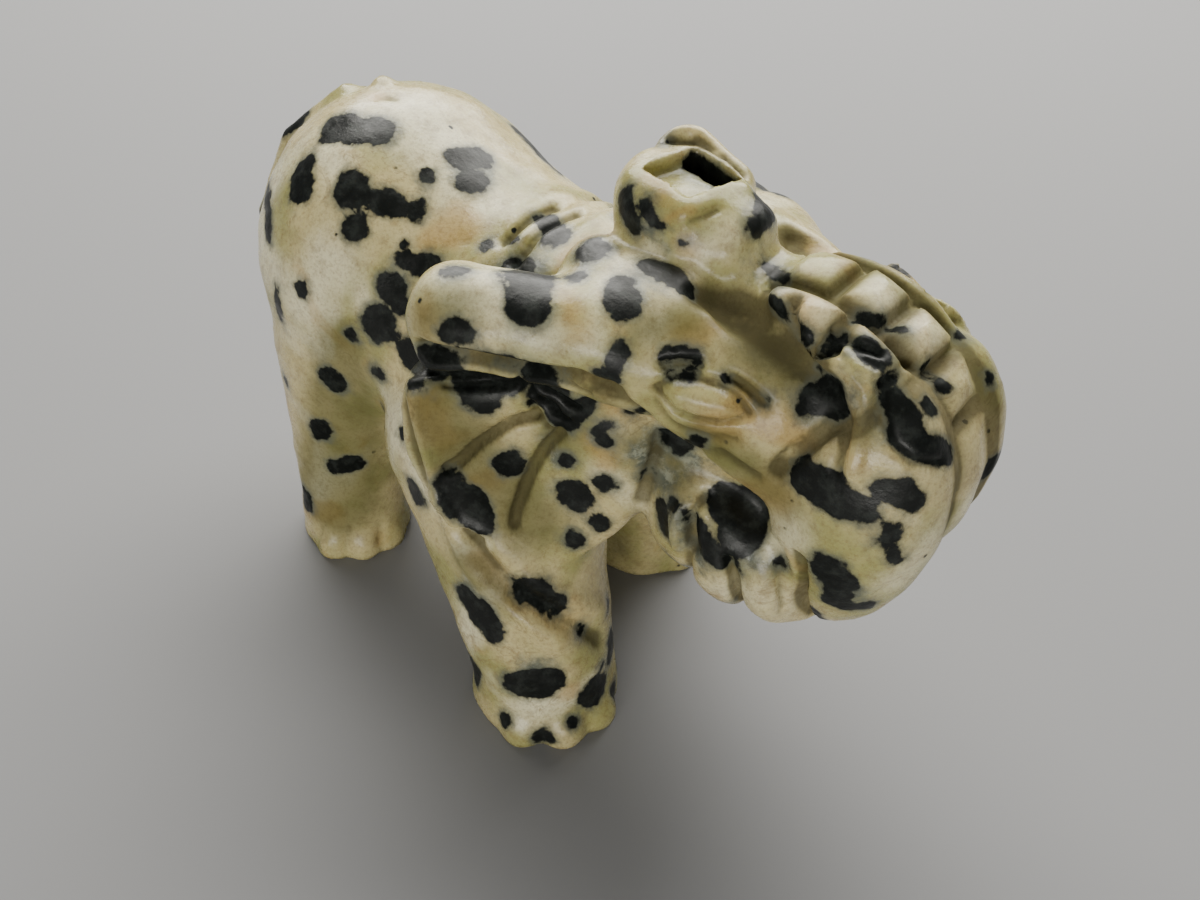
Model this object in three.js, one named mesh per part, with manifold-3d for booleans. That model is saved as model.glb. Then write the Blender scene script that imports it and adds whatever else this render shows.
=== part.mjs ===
// Elephant figurine carved from one piece of stone, standing on four flat soles with its trunk folded back
// over the forehead. Millimetres, +Z up, the elephant faces +X. The origin is under the middle of the figure,
// on the surface it stands on.

import * as THREE from "three";
import { mergeVertices } from "three/addons/utils/BufferGeometryUtils.js";
import Module from "manifold-3d";

// Size
const LENGTH = 50; // rump to the front of the trunk

// The carving's proportions are laid out in modules, about a fiftieth of the length each, counted from a
// point on the floor below the shoulders. Negative Y is the figure's right-hand side.

// Torso, as centre, radii and pitch of each mass
const RUMP = { centre: [-12.3, 0.2, 20.6], radii: [10.0, 10.2, 11.2], pitch: 8 };
const BARREL = { centre: [-3, 0.4, 19.6], radii: [11, 8.9, 9.3], pitch: -4 };
const CHEST = { centre: [4, 0, 20.6], radii: [8, 8.4, 8.9], pitch: 0 };

// Facets: large on the body, smaller on the ears and head, smallest on the trunk
const BODY_STEP = 2.1;
const HEAD_STEP = 1.22;
const TRUNK_STEP = 0.95;
const SIDE_STEP = 1.35;
const HEAD_FROM = { x: -1, z: 13.5 };
const TRUNK_FROM = { x: 5, z: 27 };
const GRID = { back: -28.2, front: 32.9, side: 19.05, bottom: -10.6, top: 42.3 }; // well clear of the figure

// Stone: pale cream rock with a satin polish
const STONE_COLOUR = 0xcbbd97;
const STONE_ROUGHNESS = 0.35;

// Legs, as hip, knee, ankle and foot, each with its radius. The foot runs on below the floor and is cut flat.
const FOOT_DEPTH = -2;
const LEGS = {
  hindRight: [
    [-13.2, -4.6, 15, 5.6], [-13.2, -6.4, 8, 4.0], [-13.0, -6.9, 3.8, 3.75], [-13.0, -7.0, FOOT_DEPTH, 4.0],
  ],
  hindLeft: [
    [-12.6, 4.8, 15, 5.6], [-12.4, 6.2, 8, 4.0], [-12.2, 6.6, 4, 3.75], [-12.2, 6.7, FOOT_DEPTH, 4.0],
  ],
  foreRight: [
    [2.4, -5.8, 16, 6.0], [5.6, -7.6, 9, 4.6], [7.2, -8.2, 4.5, 4.5], [7.6, -8.3, FOOT_DEPTH, 5.0],
  ],
  foreLeft: [
    [2.4, 5.6, 16, 5.6], [3.4, 6.6, 9, 4.5], [3.6, 6.9, 4.5, 4.3], [3.6, 6.9, FOOT_DEPTH, 4.7],
  ],
};

// Toes: bumps round the front of each foot, as angles from straight ahead towards the outer side
const TOE_ANGLES = [-5, 32, 69];
const TOE_RADIUS = 1.4;
const TOE_HEIGHT = 0.9;

// Trunk: a wheel of stone seen from the side, whose rim carries the folded trunk
const WHEEL = { x: 18, y: -0.3, z: 24.8, radius: 9.0, halfWidth: 4.2, round: 2.6 };
const RING_ANGLES = [88, 69, 50, 31]; // cross grooves on the middle and left columns
const SIDE_RING_ANGLES = [78, 50]; // the right column has larger blocks
const COLUMN_GROOVES = { right: -1.7, left: 2.0 };
const TRUNK_GROOVE = { depth: 0.75, width: 0.55 };
const CARVED_FROM = -60; // the grooves run from the chin, as an angle on the wheel,
const CARVED_TO = 112; // to the forehead,
const CARVED_SHELL = 3.5; // no deeper in from the rim than this

// Muzzle, whose front is flush with the wheel's
const MUZZLE = { reach: 4.5, inset: 0.1 };
const MUZZLE_X = WHEEL.x + WHEEL.radius - MUZZLE.reach - MUZZLE.inset;

// Hollow of the trunk's tip
const NOSTRIL = { centre: [9.3, -0.5], half: [1.6, 1.65], floor: 33.7, yaw: -8, round: 0.4 };

// Grooves reach this far from the surface, so that they don't cut through what lies behind
const SKIN = 3;

// Field of the carving: a signed distance in modules, negative inside the stone

const smooth = (a, b, k) => {
  const h = Math.max(k - Math.abs(a - b), 0) / k;
  return Math.min(a, b) - h * h * k * 0.25;
};

// One at the middle of a groove, fading to nothing within about two widths.
const fade = (away, width) => Math.exp(-(away * away) / (width * width));

// Joins forms with a fillet k.
function blend(k, ...forms) {
  return (x, y, z) => {
    let d = forms[0](x, y, z);
    for (let i = 1; i < forms.length; i++) d = smooth(d, forms[i](x, y, z), k);
    return d;
  };
}

// Cuts tool out of form, with the edge eased by k.
const carve = (k, form, tool) => (x, y, z) => -smooth(-form(x, y, z), tool(x, y, z), k);

// Repeats a right-hand form on the left.
const bothSides = (form) => (x, y, z) => form(x, -Math.abs(y), z);

// A bar with round ends through a list of points [x, y, z, radius].
function bar(...points) {
  const spans = points.slice(1).map((b, i) => {
    const a = points[i];
    const d = [b[0] - a[0], b[1] - a[1], b[2] - a[2]];
    return { a, d, grow: b[3] - a[3], length2: d[0] ** 2 + d[1] ** 2 + d[2] ** 2 };
  });
  return (x, y, z) => {
    let nearest = Infinity;
    for (const { a, d, grow, length2 } of spans) {
      const px = x - a[0];
      const py = y - a[1];
      const pz = z - a[2];
      const t = Math.min(1, Math.max(0, (px * d[0] + py * d[1] + pz * d[2]) / length2));
      const away = Math.hypot(px - t * d[0], py - t * d[1], pz - t * d[2]) - a[3] - grow * t;
      nearest = Math.min(nearest, away);
    }
    return nearest;
  };
}

// The axes of a form turned by yaw about Z and pitched nose up, in degrees.
function turned(yaw = 0, pitch = 0) {
  const turn = new THREE.Matrix4().makeRotationZ(THREE.MathUtils.degToRad(yaw));
  turn.multiply(new THREE.Matrix4().makeRotationY(-THREE.MathUtils.degToRad(pitch)));
  const e = turn.elements;
  return [[e[0], e[1], e[2]], [e[4], e[5], e[6]], [e[8], e[9], e[10]]];
}

// A point in a turned form's own axes.
function local(centre, axes, x, y, z) {
  const px = x - centre[0];
  const py = y - centre[1];
  const pz = z - centre[2];
  return axes.map((a) => px * a[0] + py * a[1] + pz * a[2]);
}

function egg(centre, radii, yaw, pitch) {
  const axes = turned(yaw, pitch);
  return (x, y, z) => {
    const q = local(centre, axes, x, y, z);
    const near = Math.hypot(q[0] / radii[0], q[1] / radii[1], q[2] / radii[2]);
    const slope = Math.hypot(q[0] / radii[0] ** 2, q[1] / radii[1] ** 2, q[2] / radii[2] ** 2);
    return slope < 1e-6 ? -Math.min(...radii) : (near * (near - 1)) / slope;
  };
}

function block(centre, half, round, yaw, pitch) {
  const axes = turned(yaw, pitch);
  return (x, y, z) => {
    const q = local(centre, axes, x, y, z).map((v, i) => Math.abs(v) - half[i] + round);
    const outside = Math.hypot(Math.max(q[0], 0), Math.max(q[1], 0), Math.max(q[2], 0));
    return outside + Math.min(Math.max(...q), 0) - round;
  };
}

// Grooves a form along a path: the cut is deepest on the path and fades over the width.
function groove(form, depth, width, ...path) {
  const away = bar(...path.map((p) => [...p, 0]));
  return (x, y, z) => {
    const d = form(x, y, z);
    return Math.abs(d) > SKIN ? d : d + depth * fade(away(x, y, z), width);
  };
}

// Torso: rump, barrel and chest, with the neck running into the head
const torso = blend(
  3.5,
  ...[RUMP, BARREL, CHEST].map(({ centre, radii, pitch }) => egg(centre, radii, 0, pitch)),
);
const neck = bar([3, 0, 22.4, 7], [11, 0, 23, 5.8]);
const shoulders = blend(
  1,
  bar([-1.6, -6.4, 15.5, 4.7], [5.6, -8, 6.5, 4.5]),
  bar([-1.2, 6.2, 15.5, 4.7], [3.2, 7, 7.5, 4.3]),
);

// Tail: a root on top of the rump and a strip that hangs down to the right
const tail = blend(
  0.6,
  bar([-15.3, 1, 31.1, 0.7], [-15.3, 1, 30, 0.9]),
  bar([-17.5, 0, 30, 0.9], [-20.6, -2.2, 26.8, 0.9], [-21.6, -4.4, 22, 0.8], [-20.6, -5.4, 16.5, 0.5]),
);

function toes([x, y, , radius], side) {
  const bumps = TOE_ANGLES.map((angle) => {
    const a = THREE.MathUtils.degToRad(angle);
    const reach = radius - 1.0;
    const at = [x + reach * Math.cos(a), y + side * reach * Math.sin(a), TOE_HEIGHT, TOE_RADIUS];
    return bar(at, [at[0], at[1], FOOT_DEPTH, TOE_RADIUS]);
  });
  return blend(0.1, ...bumps);
}

function leg(points, side) {
  return blend(0.5, bar(...points), toes(points[3], side));
}

// How far the left ear and the left brow sit below the right ones
const LEFT_DROP = { ear: 1.6, brow: 0.8 };

// Ears: a thick roll along the top and a dished fan below it, swept back from the head
const FAN = {
  centre: [6.3, -8.6, 22], yaw: 32, halfLength: 7, halfHeight: 9.2, halfThickness: 1.45, top: 27.5,
};

function earFan() {
  const axes = turned(FAN.yaw, 0);
  return (x, y, z) => {
    const [along, out, up] = local(FAN.centre, axes, x, y, z);
    const edge = (Math.hypot(along / FAN.halfLength, up / FAN.halfHeight) - 1) * FAN.halfLength;
    const dish = 0.8 * fade(along, 4) * fade(up + 1, 5);
    const face = Math.abs(out) - FAN.halfThickness + (out < 0 ? dish : 0);
    const fan = -smooth(-edge, -face, 1.2);
    return -smooth(-fan, FAN.top - z, 0.8);
  };
}

const earRoll = bar([2.9, -10.2, 28.8, 2.75], [10, -7.2, 29.3, 2.6]);
const ear = groove(
  groove(
    blend(0.8, earRoll, earFan()),
    0.7, 0.6, [7.7, -8.9, 24.6], [5.6, -10.6, 23.1], [4.3, -11.4, 21.4], [3.4, -12, 19.8],
  ),
  0.7, 0.6, [9.1, -8.5, 23.9], [7.6, -9.5, 21.6], [6.9, -10, 19.1], [6.4, -10.2, 15.2],
);

// Face: skull, the broad brow that runs on from the ear's roll to the cheek, eye, jaw and muzzle
const skull = egg([12, 0, 25.6], [8.5, 5.9, 6.4], 0, 0);
const forehead = bar([7.5, -4.2, 29.6, 2.8], [13, -3.8, 29.9, 2.6], [17.5, -3.3, 28.9, 2.5]);
const brow = blend(
  2.5,
  bar([9.5, -7.2, 29.2, 2.6], [14, -5.2, 28.0, 2.7], [18.6, -3.7, 25.6, 2.7]),
  forehead,
);
const browLeft = (x, y, z) => brow(x, -y, z + LEFT_DROP.brow);
const eye = egg([14.5, -6.3, 27.7], [2.3, 1.5, 1.15], 24, -18);
const jaw = blend(
  0.4,
  egg([14.8, -3.4, 18.6], [3.4, 3.4, 4.2], 0, 0),
  egg([17.4, -3.2, 17.9], [3.2, 3.6, 4.4], 0, 0),
  egg([20.2, -2.8, 18.0], [3.0, 3.6, 4.4], 0, 0),
);
const muzzleRight = egg([MUZZLE_X, -2.6, 23.5], [MUZZLE.reach, 3.9, 8.1], 0, -4);
const muzzleLeft = egg([MUZZLE_X, 2.6, 24.6], [MUZZLE.reach, 3.7, 6.6], 0, -4);

// Trunk: the wheel with its blocks, and the tip that lies on the forehead with an open nostril
function trunkWheel() {
  const { x: cx, y: cy, z: cz, radius, halfWidth, round } = WHEEL;
  const cross = (angle, at) => fade(THREE.MathUtils.degToRad(angle - at) * radius, TRUNK_GROOVE.width);
  const column = (y, at) => fade(y - at, TRUNK_GROOVE.width);
  return (x, y, z) => {
    const rim = Math.hypot(x - cx, z - cz);
    const a = rim - radius + round;
    const b = Math.abs(y - cy) - halfWidth + round;
    const d = Math.hypot(Math.max(a, 0), Math.max(b, 0)) + Math.min(Math.max(a, b), 0) - round;
    if (Math.abs(d) > SKIN || rim < radius - CARVED_SHELL) return d;
    const angle = THREE.MathUtils.radToDeg(Math.atan2(z - cz, x - cx));
    if (angle > CARVED_TO || angle < CARVED_FROM) return d;
    let cut = Math.max(column(y, COLUMN_GROOVES.right), column(y, COLUMN_GROOVES.left));
    const rings = y < COLUMN_GROOVES.right ? SIDE_RING_ANGLES : RING_ANGLES;
    for (const at of rings) cut = Math.max(cut, cross(angle, at));
    return d + TRUNK_GROOVE.depth * cut;
  };
}

const lobe = bar([11.4, -0.2, 32.0, 3.0], [8.5, -0.1, 33.0, 3.5]);
const farRim = bar([6.9, 2.4, 34.2, 1.8], [9.6, 2.3, 33.6, 1.5]);
const nostrilHeight = 6;
const nostril = block(
  [...NOSTRIL.centre, NOSTRIL.floor + nostrilHeight / 2],
  [...NOSTRIL.half, nostrilHeight / 2],
  NOSTRIL.round, NOSTRIL.yaw, 0,
);
const trunkTip = carve(0.3, blend(0.6, lobe, farRim), nostril);
const noseRidge = bar(
  [18.2, -4.2, 31.8, 0.7], [21.5, -4.3, 30.6, 0.7], [22.9, -4.3, 28.4, 0.7], [22.4, -4.6, 26.2, 0.7],
);

const face = groove(
  blend(0.9, skull, brow, browLeft, bothSides(jaw), muzzleRight, muzzleLeft),
  0.8, 0.9, [22.6, -4.6, 13.5], [21.6, -5.4, 18], [20.4, -5.6, 20.5],
);

const head = groove(
  blend(0.5, blend(0.4, face, trunkWheel(), bothSides(eye), bothSides(noseRidge)), trunkTip),
  1.4, 0.85, [14.2, 4.4, 31.6], [14.6, 1.5, 33.2], [14.4, -1.5, 33.2], [14.9, -3.8, 31.6],
);

const body = blend(
  1.6,
  torso,
  neck,
  shoulders,
  leg(LEGS.hindRight, -1),
  leg(LEGS.hindLeft, 1),
  leg(LEGS.foreRight, -1),
  leg(LEGS.foreLeft, 1),
);

const earLeft = (x, y, z) => ear(x - 0.4, -y, z + LEFT_DROP.ear);
const figure = blend(0.6, blend(0.9, body, head, ear, earLeft), tail);

// Undercut below the brow, valley between the brow and the trunk, and two folds of skin across the neck
const underBrow = [
  [1.4, -11.7, 25.9], [7.5, -9.8, 26], [12.2, -7.4, 25], [15.4, -5.9, 22.8], [18.6, -4.9, 21.6],
];
const cheekValley = [
  [13.6, -3.4, 32.1], [15.2, -4.0, 31.9], [17.2, -4.8, 31.6], [19.4, -5.1, 30.9], [21.2, -5.0, 30.0],
];
const onTheLeft = ([x, y, z]) => [x, -y, z];
const neckFoldBack = [[1, -5, 29.6], [0.6, -2.5, 30], [0, 0, 29.8], [-0.5, 3, 29], [-0.5, 6, 26.5]];
const neckFoldFront = [[2.8, -5.3, 29.6], [2.3, -2.5, 30], [1.6, 0, 29.9], [1.3, 3, 29], [1.2, 6, 26.5]];
let stone = figure;
stone = groove(stone, 0.9, 0.9, ...underBrow);
stone = groove(stone, 0.9, 0.9, ...underBrow.map(onTheLeft));
stone = groove(stone, 0.7, 1.0, ...cheekValley);
stone = groove(stone, 0.7, 1.0, ...cheekValley.map(onTheLeft));
stone = groove(stone, 0.5, 0.7, ...neckFoldBack);
stone = groove(stone, 0.5, 0.7, ...neckFoldFront);

// Facets of the field on a grid whose lines are closer together round the head

function gridLines(...bands) {
  const lines = [bands[0][0]];
  for (const [from, to, step] of bands) {
    const count = Math.max(1, Math.round((to - from) / step));
    for (let i = 1; i <= count; i++) lines.push(from + ((to - from) * i) / count);
  }
  return lines;
}

// The twelve edges of a cell, as pairs of corners. Bit 1 of a corner is X, bit 2 is Y and bit 4 is Z.
const CELL_EDGES = [];
for (let corner = 0; corner < 8; corner++) {
  for (const bit of [1, 2, 4]) if (!(corner & bit)) CELL_EDGES.push([corner, corner | bit]);
}

// True where the inner corners of a cell hang together along its edges.
function connected(mask) {
  if (!mask || mask === 255) return true;
  let seen = mask & -mask;
  for (let grown = 0; grown !== seen; ) {
    grown = seen;
    for (const [a, b] of CELL_EDGES) {
      if (!(mask & (1 << a)) || !(mask & (1 << b))) continue;
      if (seen & (1 << a)) seen |= 1 << b;
      if (seen & (1 << b)) seen |= 1 << a;
    }
  }
  return seen === mask;
}
const SIMPLE_CELL = Array.from({ length: 256 }, (_, mask) => connected(mask) && connected(255 ^ mask));

// A closed net of quads round the field's zero surface, each split along its shorter diagonal.
function surfaceNet(field, xs, ys, zs) {
  const stepX = 1;
  const stepY = xs.length;
  const stepZ = xs.length * ys.length;
  const values = new Float64Array(stepZ * zs.length);
  zs.forEach((z, k) =>
    ys.forEach((y, j) =>
      xs.forEach((x, i) => {
        values[i + j * stepY + k * stepZ] = field(x, y, z) || 1e-6;
      }),
    ),
  );
  const offsets = Array.from(
    { length: 8 },
    (_, corner) => (corner & 1) * stepX + ((corner >> 1) & 1) * stepY + ((corner >> 2) & 1) * stepZ,
  );
  const bitAt = (at, corner) => (values[at + offsets[corner]] < 0 ? 1 << corner : 0);
  const maskAt = (at) => offsets.reduce((mask, _, corner) => mask | bitAt(at, corner), 0);
  const eachCell = (visit) => {
    for (let k = 0; k < zs.length - 1; k++)
      for (let j = 0; j < ys.length - 1; j++)
        for (let i = 0; i < xs.length - 1; i++) visit(i + j * stepY + k * stepZ, i, j, k);
  };

  // Fill the corner nearest to the stone in every cell where two sheets would touch.
  for (let mended = 1; mended > 0; ) {
    mended = 0;
    eachCell((at) => {
      if (SIMPLE_CELL[maskAt(at)]) return;
      const open = offsets.filter((o) => values[at + o] > 0).sort((a, b) => values[at + a] - values[at + b]);
      values[at + open[0]] = -1e-3;
      mended++;
    });
  }

  const points = [];
  const pointOf = new Map();
  eachCell((at, i, j, k) => {
    const mask = maskAt(at);
    if (!mask || mask === 255) return;
    const low = [xs[i], ys[j], zs[k]];
    const high = [xs[i + 1], ys[j + 1], zs[k + 1]];
    const sum = [0, 0, 0];
    let crossings = 0;
    for (const [a, b] of CELL_EDGES) {
      const va = values[at + offsets[a]];
      const vb = values[at + offsets[b]];
      if (va < 0 === vb < 0) continue;
      const t = va / (va - vb);
      for (let axis = 0; axis < 3; axis++) {
        const from = a & (1 << axis) ? high[axis] : low[axis];
        const to = b & (1 << axis) ? high[axis] : low[axis];
        sum[axis] += from + (to - from) * t;
      }
      crossings++;
    }
    const p = sum.map((v) => v / crossings);
    settle(field, p, low, high);
    pointOf.set(at, points.push(p) - 1);
  });

  const triangles = [];
  const addQuad = (cells, flip) => {
    const q = cells.map((at) => pointOf.get(at));
    if (flip) q.reverse();
    const gap = (a, b) => Math.hypot(...points[a].map((v, axis) => v - points[b][axis]));
    if (gap(q[0], q[2]) < gap(q[1], q[3])) triangles.push([q[0], q[1], q[2]], [q[0], q[2], q[3]]);
    else triangles.push([q[1], q[2], q[3]], [q[1], q[3], q[0]]);
  };
  const steps = [stepX, stepY, stepZ];
  eachCell((at, i, j, k) => {
    const place = [i, j, k];
    steps.forEach((step, axis) => {
      const [u, v] = [(axis + 1) % 3, (axis + 2) % 3];
      if (!place[u] || !place[v]) return;
      const inside = values[at] < 0;
      if (inside === values[at + step] < 0) return;
      addQuad([at, at - steps[u], at - steps[u] - steps[v], at - steps[v]], !inside);
    });
  });
  return { points, triangles };
}

// Moves a net point onto the zero surface without leaving its cell.
function settle(field, p, low, high) {
  const step = 0.05;
  for (let round = 0; round < 4; round++) {
    const d = field(...p);
    const slope = p.map((_, axis) => {
      const q = [...p];
      q[axis] += step;
      const ahead = field(...q);
      q[axis] -= 2 * step;
      return (ahead - field(...q)) / (2 * step);
    });
    const steep = Math.max(0.3, slope[0] ** 2 + slope[1] ** 2 + slope[2] ** 2);
    for (let axis = 0; axis < 3; axis++) {
      const margin = 0.08 * (high[axis] - low[axis]);
      const moved = p[axis] - (d * slope[axis]) / steep;
      p[axis] = Math.min(high[axis] - margin, Math.max(low[axis] + margin, moved));
    }
  }
}

const wasm = await Module();
wasm.setup();

function solidFrom(geometry) {
  const positions = new THREE.BufferGeometry().setAttribute("position", geometry.getAttribute("position"));
  positions.setIndex(geometry.index);
  const merged = mergeVertices(positions, 1e-4);
  return new wasm.Manifold(
    new wasm.Mesh({
      numProp: 3,
      vertProperties: new Float32Array(merged.attributes.position.array),
      triVerts: new Uint32Array(merged.index.array),
    }),
  );
}

function geometryFrom(solid) {
  const mesh = solid.getMesh();
  const geometry = new THREE.BufferGeometry();
  geometry.setAttribute("position", new THREE.BufferAttribute(new Float32Array(mesh.vertProperties), 3));
  geometry.setIndex(new THREE.BufferAttribute(new Uint32Array(mesh.triVerts), 1));
  geometry.computeVertexNormals();
  return geometry;
}

// The figure's geometry: the faceted field, cut flat along the floor, scaled to its length and centred.
function elephantGeometry() {
  const xs = gridLines(
    [GRID.back, HEAD_FROM.x, BODY_STEP],
    [HEAD_FROM.x, TRUNK_FROM.x, HEAD_STEP],
    [TRUNK_FROM.x, GRID.front, TRUNK_STEP],
  );
  const zs = gridLines(
    [GRID.bottom, -1.6, 3],
    [-1.6, 0.4, 2],
    [0.4, HEAD_FROM.z, BODY_STEP],
    [HEAD_FROM.z, TRUNK_FROM.z, HEAD_STEP],
    [TRUNK_FROM.z, GRID.top, TRUNK_STEP],
  );
  // Across the trunk, the grid's cells are centred on the lengthwise grooves.
  const { right, left } = COLUMN_GROOVES;
  const cell = (left - right) / Math.round((left - right) / TRUNK_STEP);
  const trunkY = [right - 4.5 * cell, left + 3.5 * cell];
  const ys = gridLines(
    [-GRID.side, trunkY[0], SIDE_STEP],
    [...trunkY, cell],
    [trunkY[1], GRID.side, SIDE_STEP],
  );
  const { points, triangles } = surfaceNet(stone, xs, ys, zs);
  const net = new THREE.BufferGeometry();
  net.setAttribute("position", new THREE.Float32BufferAttribute(points.flat(), 3));
  net.setIndex(triangles.flat());
  const below = new THREE.BoxGeometry(80, 80, 20).translate(0, 0, -10);
  const geometry = geometryFrom(solidFrom(net).subtract(solidFrom(below)));
  geometry.computeBoundingBox();
  const { min, max } = geometry.boundingBox;
  const scale = LENGTH / (max.x - min.x);
  geometry.translate(-(min.x + max.x) / 2, -(min.y + max.y) / 2, 0);
  geometry.scale(scale, scale, scale);
  return geometry;
}

const elephant = new THREE.Mesh(
  elephantGeometry(),
  new THREE.MeshStandardMaterial({ color: STONE_COLOUR, roughness: STONE_ROUGHNESS, metalness: 0 }),
);
elephant.name = "elephant";

const group = new THREE.Group();
group.add(elephant);

export default group;
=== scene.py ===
"""Dressed model of the carved stone elephant: the CAD solid's form cut finely, in spotted, polished stone.

The form is a field of distances, as in the CAD part, with rounder blocks on the trunk, a flat rim round the
nostril and the carver's finer cuts. It is turned into one closed mesh that stands in for the CAD node. Places
on the carving are in modules, fiftieths of its length, counted from a point on the floor below the shoulders;
everything else is in metres.
"""

import math
import random

import bmesh
import bpy
import numpy as np
from mathutils import Matrix, Vector
from mathutils.bvhtree import BVHTree


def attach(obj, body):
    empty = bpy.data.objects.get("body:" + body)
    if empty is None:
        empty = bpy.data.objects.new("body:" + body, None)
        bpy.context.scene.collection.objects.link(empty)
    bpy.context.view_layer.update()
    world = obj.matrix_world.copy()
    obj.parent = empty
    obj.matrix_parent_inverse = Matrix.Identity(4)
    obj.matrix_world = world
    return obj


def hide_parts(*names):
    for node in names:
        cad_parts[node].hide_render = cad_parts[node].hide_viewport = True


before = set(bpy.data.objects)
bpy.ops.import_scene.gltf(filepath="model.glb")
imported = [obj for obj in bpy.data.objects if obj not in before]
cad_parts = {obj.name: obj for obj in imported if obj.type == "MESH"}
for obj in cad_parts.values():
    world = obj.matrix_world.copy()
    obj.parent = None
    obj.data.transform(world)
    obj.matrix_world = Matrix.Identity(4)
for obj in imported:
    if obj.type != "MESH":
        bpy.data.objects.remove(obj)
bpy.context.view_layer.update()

# Size, as in the CAD part
LENGTH = 0.050
MM = 0.001

# The photograph's camera, in modules and degrees, for a frame 1200 pixels wide
CAMERA_AT = (35.8, -40.8, 61.5)
CAMERA_HEADING = 127.6
CAMERA_DOWN = 42.9
CAMERA_ROLL = 4.0
FOCAL_PX = 1092
FRAME_WIDE = 1200
FRAME_HIGH = 900
SENSOR = 36

# Legs, as in the CAD part: hip, knee, ankle and foot, each with its radius
FOOT_DEPTH = -2
LEGS = {
    "hind_right": (
        (-13.2, -4.6, 15, 5.6), (-13.2, -6.4, 8, 4.0),
        (-13.0, -6.9, 3.8, 3.75), (-13.0, -7.0, FOOT_DEPTH, 4.0),
    ),
    "hind_left": (
        (-12.6, 4.8, 15, 5.6), (-12.4, 6.2, 8, 4.0),
        (-12.2, 6.6, 4, 3.75), (-12.2, 6.7, FOOT_DEPTH, 4.0),
    ),
    "fore_right": (
        (2.4, -5.8, 16, 6.0), (5.6, -7.6, 9, 4.6),
        (7.2, -8.2, 4.5, 4.5), (7.6, -8.3, FOOT_DEPTH, 5.0),
    ),
    "fore_left": (
        (2.4, 5.6, 16, 5.6), (3.4, 6.6, 9, 4.5),
        (3.6, 6.9, 4.5, 4.3), (3.6, 6.9, FOOT_DEPTH, 4.7),
    ),
}
TOE_ANGLES = (-5, 32, 69)
TOE_RADIUS = 1.4
TOE_HEIGHT = 0.9
TOE_INSET = 1.0

# Trunk: the wheel is as in the CAD part, its grooves are narrow cuts between rounded shoulders, and the rings
# cross the far column at a share of their depth
WHEEL = dict(x=18, y=-0.3, z=24.8, radius=9.0, half_width=4.2, round=2.6)
RING_ANGLES = (88, 69, 50, 31)
SIDE_RING_ANGLES = (78, 50)
COLUMN_GROOVES = dict(right=-1.7, left=2.0)
TRUNK_GROOVE = dict(depth=1.0, width=0.34, shoulder=1.0, shoulder_share=0.42)
FAR_COLUMN_SHARE = 0.25
CARVED_FROM = -60
CARVED_TO = 112
CARVED_SHELL = 3.5

# How near the skin a point has to be for a groove to move it, and how many widths a groove reaches sideways
SKIN = 3
GROOVE_REACH = 3

# Ears, as in the CAD part
FAN = dict(centre=(6.3, -8.6, 22), yaw=32, half_length=7, half_height=9.2, half_thickness=1.45, top=27.5)
LEFT_DROP = dict(ear=1.6, brow=0.8)

# How far the skin's foot is rounded into the soles
SOLE_EASE = 0.3


# Field of the carving: functions of an array of points, giving distances in modules, negative in the stone


def smooth(a, b, k):
    """The smaller of a and b, rounded over k where they meet."""
    h = np.maximum(k - np.abs(a - b), 0) / k
    return np.minimum(a, b) - h * h * k * 0.25


def fade(away, width):
    """One at no distance, falling to nothing over a few widths."""
    return np.exp(-((away / width) ** 2))


def blend(k, *forms):
    def field(p):
        d = forms[0](p)
        for form in forms[1:]:
            d = smooth(d, form(p), k)
        return d

    return field


def carve(k, form, tool):
    return lambda p: -smooth(-form(p), tool(p), k)


def mirrored(form, shift=(0, 0, 0)):
    """The form seen across the figure's middle, moved by shift."""
    turn = np.array((1, -1, 1), np.float32)
    return lambda p: form((p - np.array(shift, np.float32)) * turn)


def both_sides(form):
    def field(p):
        q = p.copy()
        q[:, 1] = -np.abs(q[:, 1])
        return form(q)

    return field


def bar(*points):
    """A bar with round ends through points (x, y, z, radius)."""
    spans = []
    for a, b in zip(points[:-1], points[1:]):
        start, along = np.array(a[:3], np.float32), np.subtract(b[:3], a[:3]).astype(np.float32)
        spans.append((start, along, a[3], b[3] - a[3], max(float(along @ along), 1e-9)))

    def field(p):
        nearest = None
        for start, along, radius, grow, length2 in spans:
            q = p - start
            t = np.clip(q @ along / length2, 0, 1)
            q -= t[:, None] * along
            d = np.sqrt(np.einsum("ij,ij->i", q, q)) - radius - grow * t
            nearest = d if nearest is None else np.minimum(nearest, d)
        return nearest

    return field


def turned(yaw=0.0, pitch=0.0):
    """Columns are the axes of a form turned by yaw about Z and pitched nose up, in degrees."""
    turn = Matrix.Rotation(math.radians(yaw), 3, "Z") @ Matrix.Rotation(-math.radians(pitch), 3, "Y")
    return np.array(turn, np.float32)


def egg(centre, radii, yaw=0.0, pitch=0.0):
    axes, c, r = turned(yaw, pitch), np.array(centre, np.float32), np.array(radii, np.float32)

    def field(p):
        q = (p - c) @ axes
        near = np.sqrt(((q / r) ** 2).sum(1))
        slope = np.sqrt(((q / (r * r)) ** 2).sum(1))
        return near * (near - 1) / np.maximum(slope, 1e-6)

    return field


def block(centre, half, rounding, yaw=0.0, pitch=0.0):
    axes, c, h = turned(yaw, pitch), np.array(centre, np.float32), np.array(half, np.float32)

    def field(p):
        q = np.abs((p - c) @ axes) - h + rounding
        return np.sqrt((np.maximum(q, 0) ** 2).sum(1)) + np.minimum(q.max(1), 0) - rounding

    return field


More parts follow.
